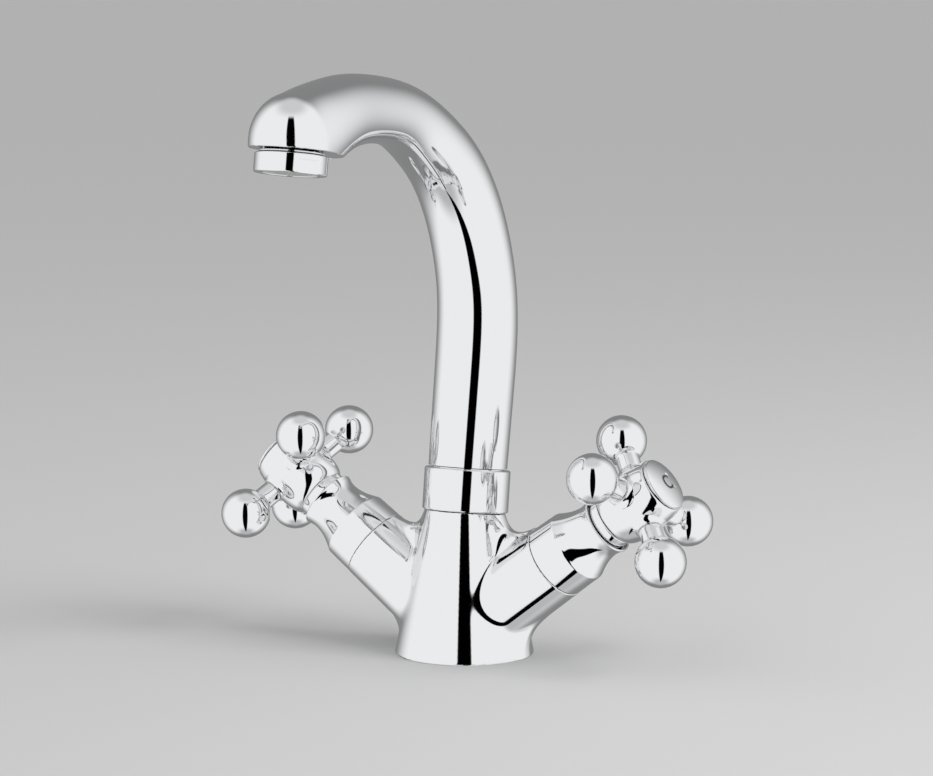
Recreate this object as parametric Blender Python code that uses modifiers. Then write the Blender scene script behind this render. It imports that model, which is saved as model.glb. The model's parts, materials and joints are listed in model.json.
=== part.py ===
"""Two-handle basin mixer with a swivelling goose-neck spout and four-spoke cross handles.

Metres, +Z up. The origin is the centre of the body's underside. The spout points to -Y,
the cold handle is on +X and the hot handle on -X.
"""

import math

import bmesh
import bpy
from mathutils import Euler, Vector

MM = 0.001  # one millimetre

# Driving dimensions, in millimetres
BASE_RADIUS = 25.2
SHOULDER_RADIUS = 14.5  # top of the body's cone, under the collar
SWIVEL_LEAN_DEG = 7.5  # the spout's axis leans back from vertical
SWIVEL_FOOT = (0.0, 0.5, 51.2)  # where the swivel axis leaves the body
COLLAR_RADIUS = 15.5
COLLAR_HEIGHT = 15.6
SPOUT_START = 16.1  # along the swivel axis, underside of the spout's shoulder
ARM_CROSSING = 8.9  # height at which both arm axes cross the body's axis
ARM_SLOPE_DEG = 36.45  # of an arm's axis above the horizontal
ARM_RADIUS = 13.8
ARM_ROOT_RADIUS = 14.7
ARM_END = 45.9  # along the arm's axis
BALL_PLANE = 87.35  # along the arm's axis, where the four spokes lie
BALL_ORBIT = 26.3  # from the handle's axis to a ball's centre
BALL_RADIUS = 9.0
STEM_RADIUS = 4.2  # of a spoke, between its ball and the hub
BOSS_RADIUS = 4.7  # on the hub, where a spoke meets it
OUTLET_CENTRE = (0.0, -115.5, 186.2)  # centre of the head's flat underside
OUTLET_TILT_DEG = 8.8
GAP = 0.3  # between pieces that touch

ROUND = 24  # sides of a turned piece
SMALL_ROUND = 16
SHARP_ANGLE = math.radians(32)  # edges sharper than this stay crisp

# Each side's sign along X and the turn of its handle at rest
SIDES = {"hot": (-1, -40.5), "cold": (1, 61.4)}

FINISHES = {
    "chrome": ((0.78, 0.79, 0.80), 0.05, 1.0),
    "steel": ((0.55, 0.56, 0.57), 0.30, 1.0),
    "brass": ((0.72, 0.55, 0.26), 0.35, 1.0),
    "ceramic": ((0.88, 0.88, 0.85), 0.20, 0.0),
    "rubber": ((0.03, 0.03, 0.03), 0.70, 0.0),
    "plastic": ((0.85, 0.86, 0.84), 0.45, 0.0),
}


def clear_scene():
    for old in list(bpy.data.objects):
        bpy.data.objects.remove(old, do_unlink=True)


def new_collection(name):
    made = bpy.data.collections.new(name)
    bpy.context.scene.collection.children.link(made)
    return made


def finish(name):
    """One Principled material for each finish."""
    if name not in bpy.data.materials:
        colour, roughness, metallic = FINISHES[name]
        made = bpy.data.materials.new(name)
        made.use_nodes = True
        shader = made.node_tree.nodes["Principled BSDF"]
        shader.inputs["Base Color"].default_value = (*colour, 1.0)
        shader.inputs["Roughness"].default_value = roughness
        shader.inputs["Metallic"].default_value = metallic
        made.diffuse_color = (*colour, 1.0)
    return bpy.data.materials[name]


def place(obj, collection, parent, at, turn):
    collection.objects.link(obj)
    obj.parent = parent
    obj.location = Vector(at) * MM
    obj.rotation_euler = Euler([math.radians(a) for a in turn])
    return obj


def axis_empty(name, at, turn, parent=None):
    return place(bpy.data.objects.new(name, None), PARTS, parent, at, turn)


def as_cutter(obj):
    obj.hide_render = True
    obj.display_type = "WIRE"
    return obj


def finished(obj, material):
    obj.data.materials.append(finish(material))
    return obj


def turned(name, profile, parent=None, material=None, steps=ROUND, at=(0, 0, 0), turn=(0, 0, 0)):
    """A profile of (radius, height) turned about local Z. A closed ring repeats no point."""
    mesh = bpy.data.meshes.new(name)
    points = [(r * MM, 0.0, z * MM) for r, z in profile]
    edges = [(i, i + 1) for i in range(len(points) - 1)]
    if profile[0][0] > 0:
        edges.append((len(points) - 1, 0))
    mesh.from_pydata(points, edges, [])
    obj = bpy.data.objects.new(name, mesh)
    place(obj, PARTS if material else CUTTERS, parent, at, turn)
    screw = obj.modifiers.new("turn", "SCREW")
    screw.steps = screw.render_steps = steps
    screw.use_merge_vertices = True
    screw.merge_threshold = 0.00001
    return finished(obj, material) if material else as_cutter(obj)


def ring(name, inner, outer, bottom, top, parent, material, steps=ROUND):
    profile = [(outer, top), (outer, bottom), (inner, bottom), (inner, top)]
    return turned(name, profile, parent, material, steps)


def rod(name, radius, bottom, top, parent=None, steps=SMALL_ROUND, at=(0, 0, 0), turn=(0, 0, 0)):
    """A cutter or a shape to join: a plain cylinder along local Z."""
    profile = [(0, top), (radius, top), (radius, bottom), (0, bottom)]
    return turned(name, profile, parent, None, steps, at, turn)


def o_ring(name, centre_radius, section_radius, height, parent):
    """A rubber ring with a six-sided section."""
    angles = [-2 * math.pi * (i + 0.5) / 6 for i in range(6)]
    profile = [
        (centre_radius + section_radius * math.cos(a), height + section_radius * math.sin(a))
        for a in angles
    ]
    return turned(name, profile, parent, "rubber", SMALL_ROUND + 4)


def box(name, size, parent=None, at=(0, 0, 0), turn=(0, 0, 0)):
    mesh = bpy.data.meshes.new(name)
    cube = bmesh.new()
    bmesh.ops.create_cube(cube, size=1.0)
    bmesh.ops.scale(cube, vec=Vector(size) * MM, verts=cube.verts)
    cube.to_mesh(mesh)
    cube.free()
    return as_cutter(place(bpy.data.objects.new(name, mesh), CUTTERS, parent, at, turn))


def join(obj, *others):
    for other in others:
        boolean(obj, other, "UNION")


def cut(obj, *others):
    for other in others:
        boolean(obj, other, "DIFFERENCE")


def boolean(obj, other, operation):
    made = obj.modifiers.new(other.name, "BOOLEAN")
    made.operation = operation
    made.solver = "EXACT"
    made.object = other


def smooth_points(stations, per_span):
    """Catmull-Rom points through the stations, each a tuple of numbers."""
    out = []
    last = len(stations) - 1
    for i in range(last):
        a, b = stations[i], stations[i + 1]
        before = stations[max(i - 1, 0)]
        after = stations[min(i + 2, last)]
        for k in range(per_span):
            t = k / per_span
            out.append(
                tuple(
                    0.5 * (2 * q + (r - p) * t + (2 * p - 5 * q + 4 * r - s) * t**2
                           + (3 * q - p - 3 * r + s) * t**3)
                    for p, q, r, s in zip(before, a, b, after)
                )
            )
    out.append(stations[last])
    return out


def lofted(name, stations, inset, sides, material=None):
    """A tube through stations of (y, z, half width, half height, tilt of the section).

    The tilt is the angle in degrees from the upright that the section's own up leans
    towards +Y, and inset shrinks the section for the space inside.
    """
    mesh = bpy.data.meshes.new(name)
    shape = bmesh.new()
    rings = []
    for y, z, wide, high, tilt in stations:
        lean = math.radians(tilt)
        up = Vector((0, math.sin(lean), math.cos(lean)))
        centre = Vector((0, y, z))
        loop = []
        for i in range(sides):
            a = 2 * math.pi * (i + 0.5) / sides
            across = Vector(((wide - inset) * math.cos(a), 0, 0))
            loop.append(shape.verts.new((centre + across + up * (high - inset) * math.sin(a)) * MM))
        rings.append(loop)
    for one, two in zip(rings, rings[1:]):
        for i in range(sides):
            j = (i + 1) % sides
            shape.faces.new((one[i], one[j], two[j], two[i]))
    shape.faces.new(rings[0])
    shape.faces.new(rings[-1])
    bmesh.ops.recalc_face_normals(shape, faces=shape.faces)
    shape.to_mesh(mesh)
    shape.free()
    obj = bpy.data.objects.new(name, mesh)
    place(obj, PARTS if material else CUTTERS, None, (0, 0, 0), (0, 0, 0))
    return finished(obj, material) if material else as_cutter(obj)


# ---- body -----------------------------------------------------------------------------

INLET_OFFSET = 12.0  # each hose port stands this far from the centre
STUD_OFFSET = 13.0  # the fixing stud's hole is this far behind the centre
GASKET_INNER, GASKET_OUTER, GASKET_DEPTH = 19.5, 22.5, 2.0
NIPPLE_RADIUS, NIPPLE_TOP = 12.2, 10.0
SOCKET_RADIUS, SOCKET_DEPTH = 9.0, 14.0


def make_body(swivel, arms):
    edge = 0.5
    foot_y, foot_z = SWIVEL_FOOT[1:]
    stations = [
        (0, 0, BASE_RADIUS - edge, BASE_RADIUS - edge, 90.0),
        (0, edge, BASE_RADIUS - 0.1, BASE_RADIUS - 0.1, 90.0),
        (foot_y, foot_z, SHOULDER_RADIUS, SHOULDER_RADIUS, 90.0 + SWIVEL_LEAN_DEG),
    ]
    body = lofted("body", stations, 0.0, ROUND + 8, "chrome")
    nipple = rod("nipple", NIPPLE_RADIUS, -6.0, NIPPLE_TOP, swivel, ROUND)
    join(body, nipple)
    for side, arm in arms.items():
        start = 10.0
        profile = [(0, ARM_END), (ARM_RADIUS, ARM_END), (ARM_ROOT_RADIUS, start), (0, start)]
        join(body, turned(side + "_arm", profile, arm, None, ROUND))
    socket = rod("swivel_socket", SOCKET_RADIUS, -SOCKET_DEPTH, NIPPLE_TOP + 5, swivel, SMALL_ROUND + 4)
    mixing = rod("mixing_bore", 6.5, 27.0, 45.0)
    cross = rod("cross_drill", 2.8, -18.0, 18.0, None, 12, (0, 0, 32.0), (0, 90, 0))
    cut(body, socket, mixing, cross)
    for side, arm in arms.items():
        sign = SIDES[side][0]
        cut(
            body,
            rod(side + "_cartridge_bore", 9.2, 20.0, ARM_END + 5, arm, SMALL_ROUND + 4),
            rod(side + "_seat_hole", 3.5, 12.0, 21.0, arm, 12),
            rod(side + "_inlet_mouth", 4.6, -5.0, 11.0, None, 16, (sign * INLET_OFFSET, 0, 0)),
            rod(side + "_inlet_bore", 3.4, 10.0, 17.5, None, 12, (sign * INLET_OFFSET, 0, 0)),
        )
    groove_profile = [
        (GASKET_OUTER, GASKET_DEPTH), (GASKET_OUTER, -1), (GASKET_INNER, -1), (GASKET_INNER, GASKET_DEPTH)
    ]
    groove = turned("gasket_groove", groove_profile, steps=ROUND + 8)
    cut(body, groove, rod("stud_hole", 3.4, -5.0, 11.5, None, 16, (0, STUD_OFFSET, 0)))
    inner, outer = GASKET_INNER + GAP, GASKET_OUTER - GAP
    ring("base_gasket", inner, outer, 0, GASKET_DEPTH - GAP, None, "rubber", ROUND + 8)


# ---- spout and its swivel ----------------------------------------------------------------

SPIGOT_TOP_RADIUS = 9.9
SPIGOT_RADIUS = 8.7
SPIGOT_END = -12.0
SNAP_RING = (10.8, 12.3)
O_RING_HEIGHTS = (-2.0, -8.0)
SPOUT_WALL = 2.6
AERATOR_NECK = 10.9  # the ring under the head
AERATOR_THREAD = 10.4  # where the aerator screws on, below that ring

# (y, z, half width, half height, tilt) up the neck, over the arch and into the head
SPOUT_STATIONS = [
    (3.0, 67.8, 14.2, 14.2, 97.5),
    (6.9, 92.7, 14.5, 14.5, 98.0),
    (9.4, 112.0, 14.6, 14.6, 93.5),
    (9.2, 131.3, 14.4, 14.3, 82.0),
    (5.4, 146.1, 14.2, 14.0, 70.0),
    (-2.3, 162.1, 14.0, 13.5, 54.0),
    (-14.4, 176.5, 13.7, 13.0, 40.0),
    (-29.6, 187.1, 13.4, 12.1, 27.0),
    (-46.5, 194.8, 13.1, 11.4, 14.0),
    (-66.4, 197.9, 13.0, 11.5, 3.0),
    (-84.0, 197.3, 13.4, 12.3, 0.0),
    (-94.0, 195.3, 13.9, 13.3, 0.0),
    (-102.0, 192.8, 14.2, 14.4, 0.0),
    (-109.0, 190.5, 14.3, 15.5, 0.0),
    (-115.5, 188.7, 14.2, 15.9, 0.0),
    (-122.0, 188.2, 12.7, 13.6, 0.0),
    (-127.0, 188.2, 8.6, 9.6, 0.0),
    (-129.6, 188.4, 3.0, 4.0, 0.0),
]


def make_spout(swivel, outlet):
    outside = smooth_points(SPOUT_STATIONS, 2)
    spout = lofted("spout", outside, 0.0, 22, "chrome")
    cut(spout, box("head_trim", (60, 60, 30), outlet, (0, 0, -15)))  # leaves the underside flat
    hollow = lofted("spout_hollow", SPOUT_STATIONS[1:13], SPOUT_WALL, 14)
    cut(spout, hollow)
    lower = SNAP_RING[0] - 0.3
    upper = SNAP_RING[1] + 0.3
    groove = 8.9
    o_groove = 7.3
    profile = [(0, SPOUT_START + 12), (9.0, SPOUT_START + 12), (SPIGOT_TOP_RADIUS, SPOUT_START + 4)]
    profile += [(SPIGOT_TOP_RADIUS, upper), (groove, upper), (groove, lower), (SPIGOT_RADIUS, lower)]
    for height in O_RING_HEIGHTS:
        top, bottom = height + 1.2, height - 1.2
        profile += [(SPIGOT_RADIUS, top), (o_groove, top), (o_groove, bottom), (SPIGOT_RADIUS, bottom)]
    profile += [(SPIGOT_RADIUS, SPIGOT_END), (0, SPIGOT_END)]
    join(spout, turned("spigot", profile, swivel, None, SMALL_ROUND + 4))
    cut(spout, rod("spigot_bore", 5.5, SPIGOT_END - 5, 42, swivel, 16))
    neck_profile = [(0, 3.0), (AERATOR_NECK, 3.0), (AERATOR_NECK, -1.0)]
    neck_profile += [(AERATOR_THREAD, -1.3), (AERATOR_THREAD, -4.0), (0, -4.0)]
    threaded = turned("aerator_thread", neck_profile, outlet)
    join(spout, threaded)
    cut(spout, rod("outlet_bore", 8.9, -8.0, 10.0, outlet, SMALL_ROUND + 4))
    top, bottom = SPOUT_START + 1.3, SPOUT_START - 3
    seat_profile = [(12.9, top), (12.9, bottom), (10.3, bottom), (10.3, top)]
    cut(spout, turned("washer_seat", seat_profile, swivel))

    lip_inner = SPIGOT_TOP_RADIUS + GAP
    collar_profile = [
        (COLLAR_RADIUS - 0.5, COLLAR_HEIGHT), (COLLAR_RADIUS, COLLAR_HEIGHT - 0.5),
        (COLLAR_RADIUS, GAP + 0.5), (COLLAR_RADIUS - 0.5, GAP), (NIPPLE_RADIUS + GAP, GAP),
        (NIPPLE_RADIUS + GAP, 12.6), (lip_inner, 12.6), (lip_inner, COLLAR_HEIGHT),
    ]
    turned("spout_collar", collar_profile, swivel, "chrome", ROUND + 8)
    ring("slip_washer", 10.6, 12.6, COLLAR_HEIGHT + GAP, SPOUT_START + 1.0, swivel, "plastic")
    ring("spout_snap_ring", 9.2, 11.8, *SNAP_RING, swivel, "steel")
    cut(bpy.data.objects["spout_snap_ring"], box("snap_ring_slit", (3, 6, 4), swivel, (0, -11, 11.5)))
    for number, height in enumerate(O_RING_HEIGHTS, 1):
        o_ring("spout_o_ring_%d" % number, 8.15, 0.7, height, swivel)


FLAT_HEADING_DEG = -28.0  # the aerator's two wrench flats, from the +X side
FLAT_DISTANCE = 11.3


def make_aerator(outlet):
    housing = turned(
        "aerator_housing",
        [
            (11.7, -1.3), (12.0, -1.6), (12.0, -7.4), (11.7, -7.7), (9.4, -7.7), (9.4, -6.6),
            (AERATOR_THREAD + 0.4, -6.6), (AERATOR_THREAD + 0.4, -2.0), (AERATOR_NECK + 0.3, -1.3),
        ],
        outlet,
        "chrome",
    )
    for side in (0, 180):
        heading = math.radians(FLAT_HEADING_DEG + side)
        reach = FLAT_DISTANCE + 1.0
        at = (reach * math.cos(heading), reach * math.sin(heading), -6.2)
        turn = (0, 0, FLAT_HEADING_DEG + side)
        cut(housing, box("wrench_flat_%d" % side, (2, 20, 4.4), outlet, at, turn))
    ring("aerator_washer", 8.8, 10.4, -5.1, -4.3, outlet, "rubber")
    turned(
        "aerator_insert",
        [
            (8.4, 2.5), (8.4, -5.4), (10.4, -5.4), (10.4, -6.3), (9.1, -6.3), (9.1, -7.5),
            (7.2, -7.5), (7.2, -6.3), (6.6, -6.3), (6.6, 1.4), (7.2, 1.4), (7.2, 2.5),
        ],
        outlet,
        "plastic",
        SMALL_ROUND + 4,
    )
    holes = 6
    for name, bottom, top in (("aerator_screen", 1.7, 2.5), ("flow_straightener", -7.5, -6.6)):
        disc = turned(
            name,
            [(0, top), (6.9, top), (6.9, bottom), (0, bottom)],
            outlet,
            "steel" if name == "aerator_screen" else "plastic",
            SMALL_ROUND + 4,
        )
        cut(disc, rod(name + "_hole", 1.1, bottom - 1, top + 1, outlet, 6))
        for i in range(holes):
            a = 2 * math.pi * i / holes
            at = (4.2 * math.cos(a), 4.2 * math.sin(a), 0)
            cut(disc, rod("%s_hole_%d" % (name, i), 1.1, bottom - 1, top + 1, outlet, 6, at))


# ---- shut-off cartridge in each arm --------------------------------------------------------

DISC_RADIUS = 7.2
SPINDLE_RADIUS = 3.0
SPLINE_RADIUS = 3.9


def make_cartridge(side, arm, handle):
    """The still pieces ride in the arm, and the ones that turn go with the handle."""
    housing = turned(
        side + "_cartridge_housing",
        [
            (7.0, 62.0), (7.0, 53.0), (11.4, 53.0), (11.4, ARM_END + GAP), (8.9, ARM_END + GAP),
            (8.9, 45.4), (7.7, 45.4), (7.7, 43.6), (8.9, 43.6), (8.9, 40.5), (8.2, 40.0), (8.2, 22.6),
            (7.5, 22.6), (7.5, 36.0), (SPINDLE_RADIUS + GAP, 36.0), (SPINDLE_RADIUS + GAP, 62.0),
        ],
        arm,
        "brass",
        SMALL_ROUND + 4,
    )
    for i in range(6):
        a = 60 * i
        flat = (11.0 * math.cos(math.radians(a)), 11.0 * math.sin(math.radians(a)), 50.5)
        cut(housing, box("%s_hex_flat_%d" % (side, i), (2, 16, 4.9), arm, flat, (0, 0, a)))
    cut(housing, box(side + "_cartridge_window", (5, 30, 3.4), arm, (0, 0, 33.6)))

    fixed = turned(
        side + "_fixed_disc",
        [(0, 28.5), (DISC_RADIUS, 28.5), (DISC_RADIUS, 25.5), (0, 25.5)],
        arm,
        "ceramic",
        SMALL_ROUND + 4,
    )
    cut(fixed, rod(side + "_fixed_port", 2.3, 24, 30, arm, 12, (3.6, 0, 0)))
    moving = turned(
        side + "_moving_disc",
        [(0, 31.8), (DISC_RADIUS, 31.8), (DISC_RADIUS, 28.8), (0, 28.8)],
        handle,
        "ceramic",
        SMALL_ROUND + 4,
    )
    cut(moving, rod(side + "_moving_port", 2.3, 28, 33, handle, 12, (-3.6, 0, 0)))
    cut(moving, box(side + "_drive_slot", (2.6, 16, 2.0), handle, (0, 0, 31.8)))

    ring(side + "_seat_seal", 4.2, 7.2, 20.3, 25.2, arm, "rubber", SMALL_ROUND)
    o_ring(side + "_cartridge_o_ring", 8.45, 0.45, 44.5, arm)

    spindle = make_spindle(side, handle)
    drive = box(side + "_drive_lug", (2.0, 11.0, 2.0), handle, (0, 0, 32.2))
    join(spindle, drive)
    o_ring(side + "_spindle_o_ring", 2.75, 0.45, 58.4, handle)
    circlip = ring(side + "_circlip", 2.7, 5.0, 62.8, 63.8, handle, "steel", SMALL_ROUND)
    cut(circlip, box(side + "_circlip_gap", (6, 2.4, 3), handle, (5, 0, 63.3)))


def make_spindle(side, handle):
    spindle = turned(
        side + "_spindle",
        [
            (0, 86.0), (SPLINE_RADIUS, 86.0), (SPLINE_RADIUS, 76.0), (SPINDLE_RADIUS, 75.0),
            (SPINDLE_RADIUS, 64.1), (2.4, 64.1), (2.4, 62.5), (SPINDLE_RADIUS, 62.5),
            (SPINDLE_RADIUS, 59.2), (2.0, 59.2), (2.0, 57.6), (SPINDLE_RADIUS, 57.6),
            (SPINDLE_RADIUS, 35.6), (6.6, 35.6), (6.6, 32.4), (0, 32.4),
        ],
        handle,
        "brass",
        16,
    )
    cut(spindle, rod(side + "_screw_hole", 2.2, 77.0, 90.0, handle, 12))
    return spindle


def make_shroud(side, arm):
    turned(
        side + "_shroud",
        [
            (10.7, 71.8), (11.1, 71.3), (10.9, 70.4), (10.4, 69.2), (10.2, 67.5), (10.3, 65.0),
            (10.9, 62.5), (11.9, 59.8), (13.0, 57.6), (13.4, 56.9), (13.7, ARM_END + GAP + 0.3),
            (13.4, ARM_END + GAP), (12.1, ARM_END + GAP), (12.0, 55.5), (7.3, 55.5), (7.3, 60.5),
            (9.0, 61.5), (9.0, 69.8), (10.1, 70.6), (10.3, 71.5),
        ],
        arm,
        "chrome",
    )


# ---- cross handle ---------------------------------------------------------------------------

BOSS_END = 12.6  # from the handle's axis to a boss's face


def spoke_profile():
    """A ball on a stem, with the stud that screws into the hub."""
    arc_steps = 9
    arc_end = math.pi - math.asin(STEM_RADIUS / BALL_RADIUS)
    profile = [(0, BALL_ORBIT + BALL_RADIUS)]
    for k in range(1, arc_steps + 1):
        a = arc_end * k / arc_steps
        profile.append((BALL_RADIUS * math.sin(a), BALL_ORBIT + BALL_RADIUS * math.cos(a)))
    seat = BOSS_END + GAP
    return profile + [(STEM_RADIUS, seat), (2.2, seat), (2.2, 7.5), (0, 7.5)]


def make_handle(side, handle):
    """A hub with a boss at each quarter turn, and a spoke with a ball screwed into each boss."""
    hub = turned(
        side + "_handle_hub",
        [
            (9.9, 97.4), (10.4, 96.8), (11.0, 94.4), (11.6, 91.0), (11.9, BALL_PLANE), (12.0, 83.0),
            (11.7, 79.6), (11.0, 76.9), (9.6, 74.8), (9.5, 71.2), (9.3, 71.0), (6.7, 71.0), (6.7, 86.3),
            (2.4, 86.3), (2.4, 88.5), (5.5, 88.5), (5.5, 93.5), (8.2, 93.5), (8.2, 97.4),
        ],
        handle,
        "chrome",
    )
    at = (0, 0, BALL_PLANE)
    turns = [(-90, 0, 90 * i) for i in range(4)]
    for i, turn in enumerate(turns):
        join(hub, rod("%s_boss_%d" % (side, i), BOSS_RADIUS, 8.4, BOSS_END, handle, 14, at, turn))
    for i, turn in enumerate(turns):
        cut(hub, rod("%s_stud_hole_%d" % (side, i), 2.5, 7.2, 16.0, handle, 10, at, turn))
        turned("%s_spoke_%d" % (side, i + 1), spoke_profile(), handle, "chrome", SMALL_ROUND, at, turn)
    inner, outer = SPLINE_RADIUS + GAP, 6.4
    adapter = ring(side + "_spline_adapter", inner, outer, 75.5, 86.0, handle, "plastic", SMALL_ROUND)
    cut(adapter, box(side + "_adapter_slit", (8, 1.2, 14), handle, (6, 0, 80)))
    screw = turned(
        side + "_handle_screw",
        [(0, 91.6), (3.6, 91.6), (4.8, 90.6), (4.8, 88.8), (1.9, 88.8), (1.9, 79.0), (0, 79.0)],
        handle,
        "steel",
        16,
    )
    at = (0, 0, 91.6)
    for turn in (0, 90):
        cut(screw, box("%s_screw_cross_%d" % (side, turn), (5.2, 1.2, 2.4), handle, at, (0, 0, turn)))
    turned(
        side + "_index_cap",
        [
            (0, 100.1), (5.0, 99.8), (8.9, 99.1), (9.7, 98.5), (9.7, 97.7), (7.9, 97.7), (7.9, 94.0),
            (6.6, 94.0), (6.6, 96.6), (0, 96.6),
        ],
        handle,
        "chrome",
    )


def settle(collection):
    """Applies the modifiers of every piece and shades it smooth between its sharp edges."""
    pieces = [obj for obj in collection.objects if obj.type == "MESH"]
    depsgraph = bpy.context.evaluated_depsgraph_get()
    meshes = [bpy.data.meshes.new_from_object(obj.evaluated_get(depsgraph)) for obj in pieces]
    for obj, mesh in zip(pieces, meshes):
        obj.modifiers.clear()
        obj.data = mesh
        mesh.name = obj.name
        mesh.shade_smooth()
        mesh.set_sharp_from_angle(angle=SHARP_ANGLE)


clear_scene()
PARTS = new_collection("basin_mixer")
CUTTERS = new_collection("cutters")

swivel_axis = axis_empty("swivel_axis", SWIVEL_FOOT, (-SWIVEL_LEAN_DEG, 0, 0))
outlet_axis = axis_empty("outlet_axis", OUTLET_CENTRE, (-OUTLET_TILT_DEG, 0, 0))
arm_axes = {}
handle_axes = {}
for side_name, (side_sign, rest_turn) in SIDES.items():
    slope = (0, side_sign * (90 - ARM_SLOPE_DEG), 0)
    arm_axes[side_name] = axis_empty(side_name + "_arm_axis", (0, 0, ARM_CROSSING), slope)
    handle_axes[side_name] = axis_empty(
        side_name + "_handle_axis", (0, 0, 0), (0, 0, rest_turn), arm_axes[side_name]
    )

make_body(swivel_axis, arm_axes)
make_spout(swivel_axis, outlet_axis)
make_aerator(outlet_axis)
for side_name, arm_axis in arm_axes.items():
    make_cartridge(side_name, arm_axis, handle_axes[side_name])
    make_shroud(side_name, arm_axis)
    make_handle(side_name, handle_axes[side_name])
settle(PARTS)
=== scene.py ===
import json
import math

import bpy
import numpy as np
from mathutils import Matrix, Vector


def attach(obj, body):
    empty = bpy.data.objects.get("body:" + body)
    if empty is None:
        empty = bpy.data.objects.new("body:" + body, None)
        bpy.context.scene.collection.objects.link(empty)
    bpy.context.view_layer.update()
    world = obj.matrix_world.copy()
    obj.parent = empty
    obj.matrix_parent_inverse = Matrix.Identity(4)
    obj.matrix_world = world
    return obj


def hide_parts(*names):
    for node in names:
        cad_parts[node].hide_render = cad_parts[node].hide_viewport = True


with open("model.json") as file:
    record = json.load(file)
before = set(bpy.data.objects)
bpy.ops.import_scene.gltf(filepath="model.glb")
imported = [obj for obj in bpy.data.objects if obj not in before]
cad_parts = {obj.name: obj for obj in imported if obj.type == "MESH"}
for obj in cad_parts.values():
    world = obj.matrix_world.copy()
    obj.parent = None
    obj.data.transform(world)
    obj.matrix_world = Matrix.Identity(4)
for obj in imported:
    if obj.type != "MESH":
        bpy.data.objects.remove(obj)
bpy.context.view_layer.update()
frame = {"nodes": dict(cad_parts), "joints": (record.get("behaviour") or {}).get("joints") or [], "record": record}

mm = 0.001
joints = {j["name"]: j for j in frame["joints"]}
ringSides = 96  # round pieces


def axisMatrix(origin, axis, sideways=(0, 1, 0)):
    # a frame whose Z is the axis and whose Y stays as near as it can to sideways
    z = Vector(axis).normalized()
    x = Vector(sideways).cross(z).normalized()
    y = z.cross(x)
    turn = Matrix((x, y, z)).transposed().to_4x4()
    return Matrix.Translation(Vector(origin)) @ turn


swivel = joints["spout_swivel"]
swivelFrame = axisMatrix(swivel["pos_m"], swivel["axis"])
ballPlane = 87.35  # along each arm from where the arm axes cross
armFrames = {}
for side in ("hot", "cold"):
    turnJoint = joints[side + "_handle_turn"]
    armAxis = Vector(turnJoint["axis"])
    armFrames[side] = axisMatrix(Vector(turnJoint["pos_m"]) - armAxis * ballPlane * mm, armAxis)
outletTilt = math.radians(8.8)
outletFrame = axisMatrix((0, -0.1155, 0.1862), (0, math.sin(outletTilt), math.cos(outletTilt)))


def clearSelection():
    if bpy.context.mode != "OBJECT":
        bpy.ops.object.mode_set(mode="OBJECT")
    for obj in bpy.context.selected_objects:
        obj.select_set(False)


def pick(obj):
    clearSelection()
    obj.select_set(True)
    bpy.context.view_layer.objects.active = obj
    return obj


def selectWhere(obj, test):
    # picks the vertices whose place passes the test, and the edges and faces between them
    pick(obj)
    bpy.ops.object.mode_set(mode="EDIT")
    bpy.ops.mesh.select_mode(type="VERT")
    bpy.ops.mesh.select_all(action="DESELECT")
    bpy.ops.object.mode_set(mode="OBJECT")
    for vertex in obj.data.vertices:
        vertex.select = test(vertex.co)


def nameIt(name):
    obj = bpy.context.object
    obj.name = name
    obj.data.name = name
    return obj


def applyMod(obj, kind, **settings):
    pick(obj)
    mod = obj.modifiers.new(kind.lower(), kind)
    for key, value in settings.items():
        setattr(mod, key, value)
    bpy.ops.object.modifier_apply(modifier=mod.name)


def combine(obj, tool, operation):
    applyMod(obj, "BOOLEAN", object=tool, operation=operation, solver="EXACT")
    bpy.data.objects.remove(tool)


def extrudeRing(centre, step, factor):
    # the open ring moves on by step and is scaled about its new centre
    bpy.ops.mesh.extrude_region_move(TRANSFORM_OT_translate={"value": tuple(step)})
    bpy.ops.transform.resize(value=(factor, factor, factor), center_override=tuple(centre))


def turnedPiece(name, profile, place, sides=ringSides, closed=False):
    # profile is (radius, height) in mm from the foot up the outer side; a ring comes back down its bore
    clearSelection()
    radius, height = profile[0]
    fill = "NOTHING" if closed else "NGON"
    bpy.ops.mesh.primitive_circle_add(
        vertices=sides, radius=radius * mm, fill_type=fill, location=(0, 0, height * mm))
    piece = nameIt(name)
    bpy.ops.object.transform_apply(location=True)
    bpy.ops.object.mode_set(mode="EDIT")
    bpy.ops.mesh.select_all(action="SELECT")
    for nextRadius, nextHeight in profile[1:]:
        rise = (0, 0, (nextHeight - height) * mm)
        if nextRadius == 0:
            bpy.ops.mesh.extrude_region_move(TRANSFORM_OT_translate={"value": rise})
            bpy.ops.mesh.merge(type="CENTER")
            break
        extrudeRing((0, 0, nextHeight * mm), rise, nextRadius / radius)
        radius, height = nextRadius, nextHeight
    if closed:
        bpy.ops.mesh.select_all(action="DESELECT")
        bpy.ops.mesh.select_mode(type="EDGE")
        bpy.ops.mesh.select_non_manifold()
        bpy.ops.mesh.bridge_edge_loops()
    bpy.ops.mesh.select_all(action="SELECT")
    bpy.ops.mesh.normals_make_consistent(inside=False)
    bpy.ops.object.mode_set(mode="OBJECT")
    piece.data.transform(place)
    return piece


def cylinderTool(radius, low, high, place, sides=64):
    return turnedPiece("tool", [(radius, low), (radius, high)], place, sides)


def boxTool(size, place):
    clearSelection()
    bpy.ops.mesh.primitive_cube_add(size=1)
    tool = nameIt("tool")
    tool.data.transform(Matrix.Diagonal((*[s * mm for s in size], 1)))
    tool.data.transform(place)
    return tool


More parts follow.
